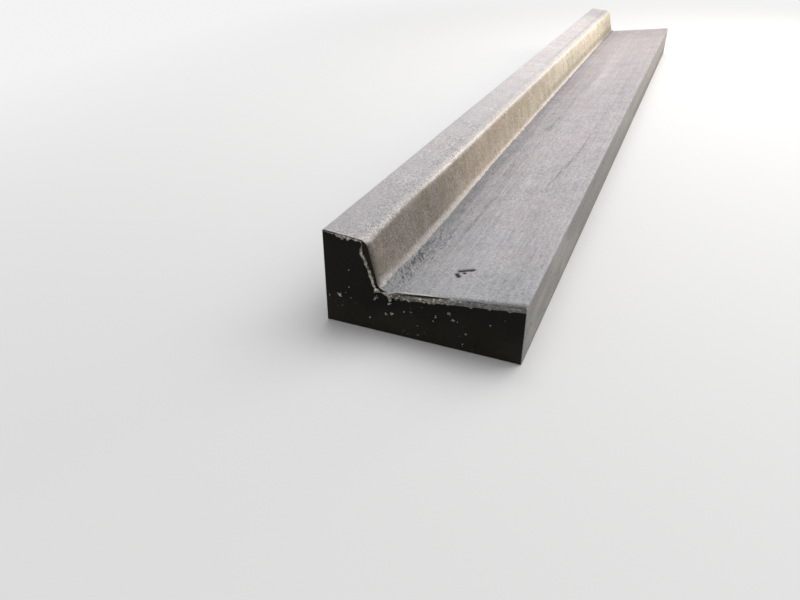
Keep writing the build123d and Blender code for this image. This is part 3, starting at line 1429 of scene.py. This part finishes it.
        # A painted shade line along the top, where it turns into the nose.
        nose_shade_line = tree.across(0.090, 0.103) * tree.across(0.119, 0.108) * (0.05 + 0.09 * tree.along(2.2, 3.0))
        sheen = (tree.across(0.36, 0.50) * 0.19 - 0.05) * tree.along(0.9, 0.2)
        hair = tree.rise(tree.streaks((430.0, 1.6), 1, 6.0), 0.10, 0.20)
        hair = hair * (0.07 + 0.07 * tree.along(2.0, 3.0))
        drawn = tree.streaks((140.0, 30.0), 3, 31.0) * (0.62 - 0.30 * tree.along(1.2, 3.0))
        arcs = tree.streaks((5.0, 55.0), 2, 21.0, warp=0.4) * tree.along(1.2, 1.7) * tree.along(3.2, 2.3)
        on_pan = tree.on_pan * (sheen + hair + drawn + arcs * 0.22)
        return on_pan + tree.streak * 0.30 * (tree.on_pan + 0.4) - tail * 0.17 - nose_shade_line + pale_run * 0.10

    def edge_lines(self, tree: StruckTree) -> Shade:
        """How much lighter each place is for the painted glint along the nose, the painted highlights along
        the near edges of the top and the pan, the seams of the strip and a painted shadow in the fillet near
        the joint.

        Args:
            tree: The material's tree.

        Returns:
            The light to add.
        """
        b, strip_to = self.bands, self.strip_to
        seam = tree.rise(tree.by_strip, strip_to - 0.002, strip_to) * tree.across(strip_to + 0.013, strip_to)
        # A painted shadow in the fillet near the joint end.
        far_fillet_shadow = tree.across(0.260, 0.272) * tree.across(0.302, 0.290) * tree.along(3.8, 4.3)
        clots = tree.rise(tree.streaks((85.0, 60.0), 3, 35.0), -0.10, 0.14) - 0.25
        # Painted highlights along the near edges of the pan and the top, on the pan partly pale mortar.
        lip = tree.along(0.0085, 0.0030) * tree.across(0.335, 0.365) * tree.across(0.48, 0.43)
        top_edge_highlight = tree.along(0.0080, 0.0030) * tree.across(b.nose, b.top)
        light = tree.crest_glint * (0.24 + 0.18 * tree.along(1.4, 0.9)) + lip * 0.80 + top_edge_highlight * 0.16
        light = light + tree.strip * tree.along(0.17, 0.04) * (0.10 + 0.40 * clots)
        return light - far_fillet_shadow * 0.20 - seam * 0.16 * tree.along(1.5, 2.1)

    def foot_marks(self, tree: StruckTree) -> tuple[Shade, Shade]:
        """Find the nicks and drags that the trowel's corner left by the foot of the face, near the stop end.

        Args:
            tree: The material's tree.

        Returns:
            Where the dashes are, darkened as painted shade in the nicks and drags, and where the bits between
            them are, lightened as a painted highlight.
        """
        fillet = self.bands.fillet
        turned = {0: tree.u * 0.84 + tree.v * 0.54, 1: tree.u * 0.54 - tree.v * 0.84}
        slanted = tree.node("ShaderNodeCombineXYZ", inputs=turned)
        nicks = tree.noise(slanted, (165.0, 30.0, 1.0), 2, 19.0)
        drags = tree.streaks((190.0, 34.0), 2, 37.0)
        nicked = tree.across(fillet + 0.052, fillet + 0.020) * tree.along(0.38, 0.24)
        nicked = nicked * tree.along(0.020, 0.055)
        dragged = tree.across(fillet + 0.085, fillet + 0.050) * tree.along(0.56, 0.38)
        dragged = dragged * tree.along(0.12, 0.26)
        dashes = tree.rise(nicks, 0.0, -0.10) * nicked + tree.rise(drags, -0.04, -0.13) * dragged
        return dashes * tree.on_pan, tree.rise(nicks, 0.06, 0.16) * nicked * tree.on_pan


@dataclass(frozen=True)
class FormedFinish:
    """The back and the lip side, cast against boards."""

    damp: Colour = (0.330, 0.318, 0.300)
    dry: Colour = (0.500, 0.482, 0.455)
    paste: Colour = (0.560, 0.540, 0.510)
    # The bugholes' near-black is painted shade.
    hole: Colour = (0.070, 0.064, 0.056)
    board: float = 0.14

    def make(self) -> bpy.types.Material:
        """Build the material.

        Returns:
            The material of the formed sides.
        """
        tree = ConcreteTree("formed_concrete")
        _, y, z = tree.parts(tree.around)
        cloud = tree.grains((3.0, 1.4, 5.0), 3, 2.0)
        wood = tree.grains((90.0, 1.6, 130.0), 3, 4.0)
        blotch = tree.grains(13.0, 4, 6.0)
        fine = tree.grains(240.0, 2, 8.0)
        # The bugholes are sunk in the bump and painted dark as shade.
        holes = tree.rise(tree.grains(75.0, 0, 12.0), -0.255, -0.30)
        by_seam = z + wood * 0.004
        seam = tree.rise(by_seam, self.board - 0.003, self.board)
        seam = seam * tree.rise(by_seam, self.board + 0.004, self.board + 0.001)
        dry = tree.rise(y + cloud * 1.6, -2.2, 1.4) * tree.rise(z + blotch * 0.09, 0.02, 0.11)
        colour = tree.mix(self.damp, self.dry, dry).blend(self.paste, tree.rise(cloud, 0.02, 0.16) * 0.55)
        colour = colour.lit(1.0 + blotch * 0.30 + wood * 0.16 + fine * 0.20 - seam * 0.22)
        height = wood * 0.0007 + fine * 0.0004 + blotch * 0.0008 - holes * 0.002 - seam * 0.0012
        return tree.finish(colour.blend(self.hole, holes), 0.72 + blotch * 0.3, height)


@dataclass(frozen=True)
class StopEndFinish:
    """The end that was cast against the stop board, painted nearly black as shade, with mortar round its top.
    """

    # The near-black ground colour is painted shade.
    pitch: Colour = (0.0075, 0.0068, 0.0050)
    earth: Colour = (0.030, 0.026, 0.017)
    speck: Colour = (0.450, 0.425, 0.360)
    mortar: Colour = (0.740, 0.700, 0.580)
    mortar_shade: Colour = (0.260, 0.247, 0.203)
    slab: Colour = (0.400, 0.400, 0.395)
    slab_shade: Colour = (0.215, 0.217, 0.214)
    clot_white: Colour = (0.900, 0.870, 0.770)
    # The colour of the painted shadow in the gap behind the mortar band.
    gap: Colour = (0.024, 0.021, 0.014)
    earth_top: float = 0.12
    damp_top: float = 0.015

    def make(self) -> bpy.types.Material:
        """Build the material.

        Returns:
            The material of the stop end.
        """
        tree = ConcreteTree("stop_end_concrete")
        z = tree.parts(tree.around)[2]
        u = tree.parts(tree.surface_place())[0]
        grain = tree.grains(70.0, 4, 5.0)
        fine = tree.grains(260.0, 2, 7.0)
        on_pan = tree.rise(u, 0.300, 0.345)
        rim = tree.rise(tree.painted("mortar") + grain * (0.35 - 0.20 * on_pan), 0.35, 0.62)
        low = tree.rise(z + tree.grains(7.0, 4, 3.0) * 0.16, self.earth_top, self.damp_top)
        specks = tree.rise(tree.grains(95.0, 2, 13.0), 0.185, 0.205)
        specks = specks * tree.rise(tree.grains(9.0, 2, 11.0), 0.05, 0.18)
        # The end is painted near-black as shade, browner with earth near the bed.
        colour = tree.mix(self.pitch, self.earth, low * 0.8).lit(1.0 + grain * 0.7).blend(self.speck, specks)
        colour = colour.blend(self.mortar_colour(tree, u, on_pan, grain, fine), rim)
        height = grain * 0.0016 + fine * 0.0006 + specks * 0.0018 + rim * grain * 0.003
        roughness = 0.55 + rim * 0.3 + fine * 0.2
        # Blend in the painted shadow of the gap.
        return tree.finish(colour.blend(self.gap, tree.painted("dark")), roughness, height, gloss=0.12)

    def mortar_colour(self, tree: ConcreteTree, u: Shade, on_pan: Shade, grain: Shade, fine: Shade) -> Shade:
        """Colour the mortar of the rim, which lies in layers and clots, with painted shade in its creases.

        Args:
            tree: The material's tree.
            u: The place across.
            on_pan: Where the rim runs under the pan.
            grain: The coarse grain.
            fine: The fine grain.

        Returns:
            The colour.
        """
        on_slab = tree.rise(u, 0.43, 0.54) * tree.rise(tree.grains(120.0, 1, 17.0), 0.16, 0.10)
        layers = tree.grains((45.0, 1.0, 260.0), 3, 19.0)
        laid = tree.grains((26.0, 1.0, 330.0), 2, 29.0)
        lumpy = tree.rise(grain * 0.6 + layers * 0.4, -0.08, 0.10)
        clots = tree.rise(tree.grains((130.0, 1.0, 200.0), 2, 43.0), 0.07, 0.15)
        # Painted shade in the creases of the mortar.
        crease_shade = tree.rise(tree.grains((60.0, 1.0, 280.0), 2, 47.0), -0.07, -0.15)
        bright = lumpy * (1.0 - on_pan) + tree.rise(laid, 0.04, 0.16) * on_pan * 0.85
        mortar = tree.mix(self.mortar_shade, self.mortar, bright)
        mortar = mortar.lit(1.0 - on_pan * (0.18 + 0.50 * tree.rise(laid, -0.04, -0.14)))
        mortar = mortar.blend(tree.mix(self.slab_shade, self.slab, lumpy), on_slab).lit(1.0 + fine * 0.8)
        return mortar.blend(self.clot_white, clots * (0.85 - 0.45 * on_slab)).lit(1.0 - crease_shade * 0.45)


@dataclass(frozen=True)
class JointFinish:
    """The broken root of the joint, under its groove: stones in rough paste."""

    paste: Colour = (0.350, 0.340, 0.325)
    stone: Colour = (0.230, 0.220, 0.205)
    pale_stone: Colour = (0.470, 0.450, 0.420)
    stones_per_metre: float = 74.0
    stone_shape: Colour = (1.0, 1.0, 1.25)
    stone_bend: float = 0.014

    def make(self) -> bpy.types.Material:
        """Build the material.

        Returns:
            The material of the joint end.
        """
        tree = ConcreteTree("joint_concrete")
        bend = (tree.grains(60.0, 2, 33.0) + 0.5) * self.stone_bend
        bent = {0: tree.around.times(self.stone_shape), 1: bend}
        warped = tree.node("ShaderNodeVectorMath", {"operation": "ADD"}, bent)
        edge = tree.cells(warped, self.stones_per_metre, Cells.EDGE)
        tone = tree.parts(tree.cells(warped, self.stones_per_metre, output="Color"))[0]
        grain = tree.grains(120.0, 4, 5.0)
        blotch = tree.grains(15.0, 4, 9.0)
        stones = tree.rise(edge + grain * 0.2, 0.10, 0.20) * tree.rise(tone, 0.45, 0.55)
        colour = tree.mix(self.paste, tree.mix(self.stone, self.pale_stone, tone), stones * 0.7)
        height = grain * 0.0030 + stones * 0.0022 + blotch * 0.008
        return tree.finish(colour.lit(1.0 + grain * 0.5 + blotch * 0.4), 0.85 + grain * 0.2, height)


@dataclass(frozen=True)
class GrooveWallFinish:
    """The wall of the joint groove, smoothed by the groover and painted dark as shade in the groove, partly
    damp.
    """

    # Both colours are painted darker than the top as shade in the groove, partly damp.
    paste: Colour = (0.300, 0.292, 0.284)
    laitance: Colour = (0.400, 0.388, 0.372)

    def make(self) -> bpy.types.Material:
        """Build the material.

        Returns:
            The material of the groove's wall.
        """
        tree = ConcreteTree("tooled_concrete")
        drag = tree.grains((5.0, 1.0, 260.0), 3, 3.0)
        blotch = tree.grains(18.0, 4, 6.0)
        fine = tree.grains(260.0, 2, 8.0)
        colour = tree.mix(self.paste, self.laitance, tree.rise(blotch, -0.08, 0.12))
        height = drag * 0.0010 + fine * 0.0004 + blotch * 0.0010
        return tree.finish(colour.lit(1.0 + drag * 0.30 + fine * 0.24), 0.62 + blotch * 0.2, height)


@dataclass(frozen=True)
class BedFinish:
    """The underside, which took the print of the gravel that it was poured on."""

    paste: Colour = (0.300, 0.285, 0.260)
    soil: Colour = (0.130, 0.112, 0.088)
    stone: Colour = (0.210, 0.205, 0.195)
    stones_per_metre: float = 36.0

    def make(self) -> bpy.types.Material:
        """Build the material.

        Returns:
            The material of the bed.
        """
        tree = ConcreteTree("bed_concrete")
        bowl = tree.cells(tree.around, self.stones_per_metre, Cells.ROUNDED)
        grain = tree.grains(90.0, 4, 5.0)
        blotch = tree.grains(14.0, 6, 9.0)
        stained = tree.rise(bowl * 0.8 + blotch * 1.3 + grain * 0.35, 0.42, 0.62)
        stuck = tree.rise(tree.grains(55.0, 1, 15.0), 0.16, 0.20)
        colour = tree.mix(self.paste, self.soil, stained * 0.85).blend(self.stone, stuck)
        height = bowl * 0.006 + grain * 0.002 + stuck * 0.004
        return tree.finish(colour.lit(1.0 + grain * 0.6 + blotch * 0.5), 0.9 + grain * 0.1, height)


@dataclass(frozen=True)
class Lamp:
    """A soft lamp that points at a place. Its size is its width and height, and its power is in watts."""

    name: str
    place: Colour
    target: Colour
    size: tuple[float, float]
    power: float
    colour: Colour = WHITE

    def hang(self) -> None:
        """Hang the lamp."""
        data = bpy.data.lights.new(self.name, "AREA")
        data.shape = "RECTANGLE"
        data.size, data.size_y = self.size
        data.energy = self.power
        data.color = self.colour
        lamp = bpy.data.objects.new(self.name, data)
        lamp.location = self.place
        aim = Vector(self.target) - Vector(self.place)
        lamp.rotation_euler = aim.to_track_quat("-Z", "Y").to_euler()
        bpy.context.scene.collection.objects.link(lamp)


@dataclass(frozen=True)
class Studio:
    """The pale floor, the soft lights and the camera."""

    floor_reach: float = 40.0
    floor_gap: float = 0.0005
    haze_from: float = 0.5
    haze_to: float = 4.2
    haze_half: float = 2.0
    floor_seen: float = 0.80
    floor_bounce: float = 0.38
    sky_seen: float = 0.90
    sky_light: float = 0.40
    key: Lamp = Lamp("key", (1.6, 1.8, 6.0), (0.0, 0.2, 0.2), (7.0, 9.0), 500.0)
    warm: Lamp = Lamp("warm", (3.2, 4.6, 1.9), (-0.15, 1.9, 0.2), (1.6, 1.6), 52.0, (1.0, 0.80, 0.55))
    camera_place: Colour = (0.590, -3.813, 1.133)
    camera_down: float = math.radians(31.26)
    camera_left: float = math.radians(23.13)
    camera_focal_pixels: float = 676.0
    image_width_pixels: float = 800.0
    sensor_width_mm: float = 36.0

    def build(self, floor_z: float) -> None:
        """Set up the studio.

        Args:
            floor_z: The height of the floor.
        """
        self.lay_floor(floor_z)
        self.light_sky()
        self.key.hang()
        self.warm.hang()
        self.set_camera()
        bpy.context.scene.view_settings.view_transform = "Standard"

    def lay_floor(self, floor_z: float) -> None:
        """Lay the floor, which looks pale and fades into the sky round the bay.

        Args:
            floor_z: The height of the floor.
        """
        bm = bmesh.new()
        bmesh.ops.create_circle(bm, cap_ends=True, segments=96, radius=self.floor_reach)
        bmesh.ops.translate(bm, vec=(0, 0, floor_z - self.floor_gap), verts=bm.verts)
        mesh = bpy.data.meshes.new("studio_floor")
        bm.to_mesh(mesh)
        bm.free()
        mesh.materials.append(self.floor_material())
        floor = bpy.data.objects.new("studio_floor", mesh)
        bpy.context.scene.collection.objects.link(floor)

    def floor_material(self) -> bpy.types.Material:
        """Build the floor's material, which throws less light back on the bay than it seems to.

        Returns:
            The material.
        """
        tree = Tree(bpy.data.materials.new("studio_floor"))
        direct = tree.node("ShaderNodeLightPath", output="Is Camera Ray")
        seen = tree.math("MAXIMUM", direct, tree.node("ShaderNodeLightPath", output="Is Glossy Ray"))
        tone = self.floor_bounce + seen * (self.floor_seen - self.floor_bounce)
        colour = tree.node("ShaderNodeCombineXYZ", inputs={0: tone, 1: tone, 2: tone})
        near = tree.node("ShaderNodeBsdfDiffuse", inputs={"Color": colour})
        far = tree.node("ShaderNodeEmission", inputs={"Color": WHITE, "Strength": self.sky_seen})
        x, y, _ = tree.parts(tree.object_place())
        past = tree.math("MAXIMUM", tree.math("MAXIMUM", y, y * -1.0) - self.haze_half, 0.0)
        away = tree.math("POWER", x * x + past * past, 0.5)
        haze = seen * tree.rise(away, self.haze_from, self.haze_to)
        return tree.close(tree.node("ShaderNodeMixShader", inputs={0: haze, 1: near, 2: far}))

    def light_sky(self) -> None:
        """Light the bay evenly from the sky, which looks white."""
        tree = Tree(bpy.data.worlds.new("studio_sky"))
        seen = tree.node("ShaderNodeLightPath", output="Is Camera Ray")
        strength = self.sky_light + seen * (self.sky_seen - self.sky_light)
        sky = tree.node("ShaderNodeBackground", inputs={"Color": WHITE, "Strength": strength})
        bpy.context.scene.world = tree.close(sky)

    def set_camera(self) -> None:
        """Set the camera at the height and angle from which the bay is seen over its stop end."""
        data = bpy.data.cameras.new("camera")
        data.sensor_width = self.sensor_width_mm
        data.lens = self.camera_focal_pixels / self.image_width_pixels * self.sensor_width_mm
        camera = bpy.data.objects.new("camera", data)
        camera.location = self.camera_place
        camera.rotation_euler = (math.pi / 2 - self.camera_down, 0.0, self.camera_left)
        bpy.context.scene.collection.objects.link(camera)
        bpy.context.scene.camera = camera


def main() -> None:
    """Build the bay and the studio in order, and report each piece."""
    logging.basicConfig(level=logging.INFO, format="%(message)s")
    low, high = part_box(NODE)
    casting = Casting(Section(back_x=low.x, lip_x=high.x, bed_z=low.z), stop_y=low.y, joint_y=high.y)
    piece = casting.make()
    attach(piece, "root")
    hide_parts(NODE)
    log.info("%s: %d vertices, %d faces", piece.name, len(piece.data.vertices), len(piece.data.polygons))
    Studio().build(floor_z=low.z)
    log.info("studio: floor, sky, two lamps and the camera")


if __name__ == "__main__":
    main()
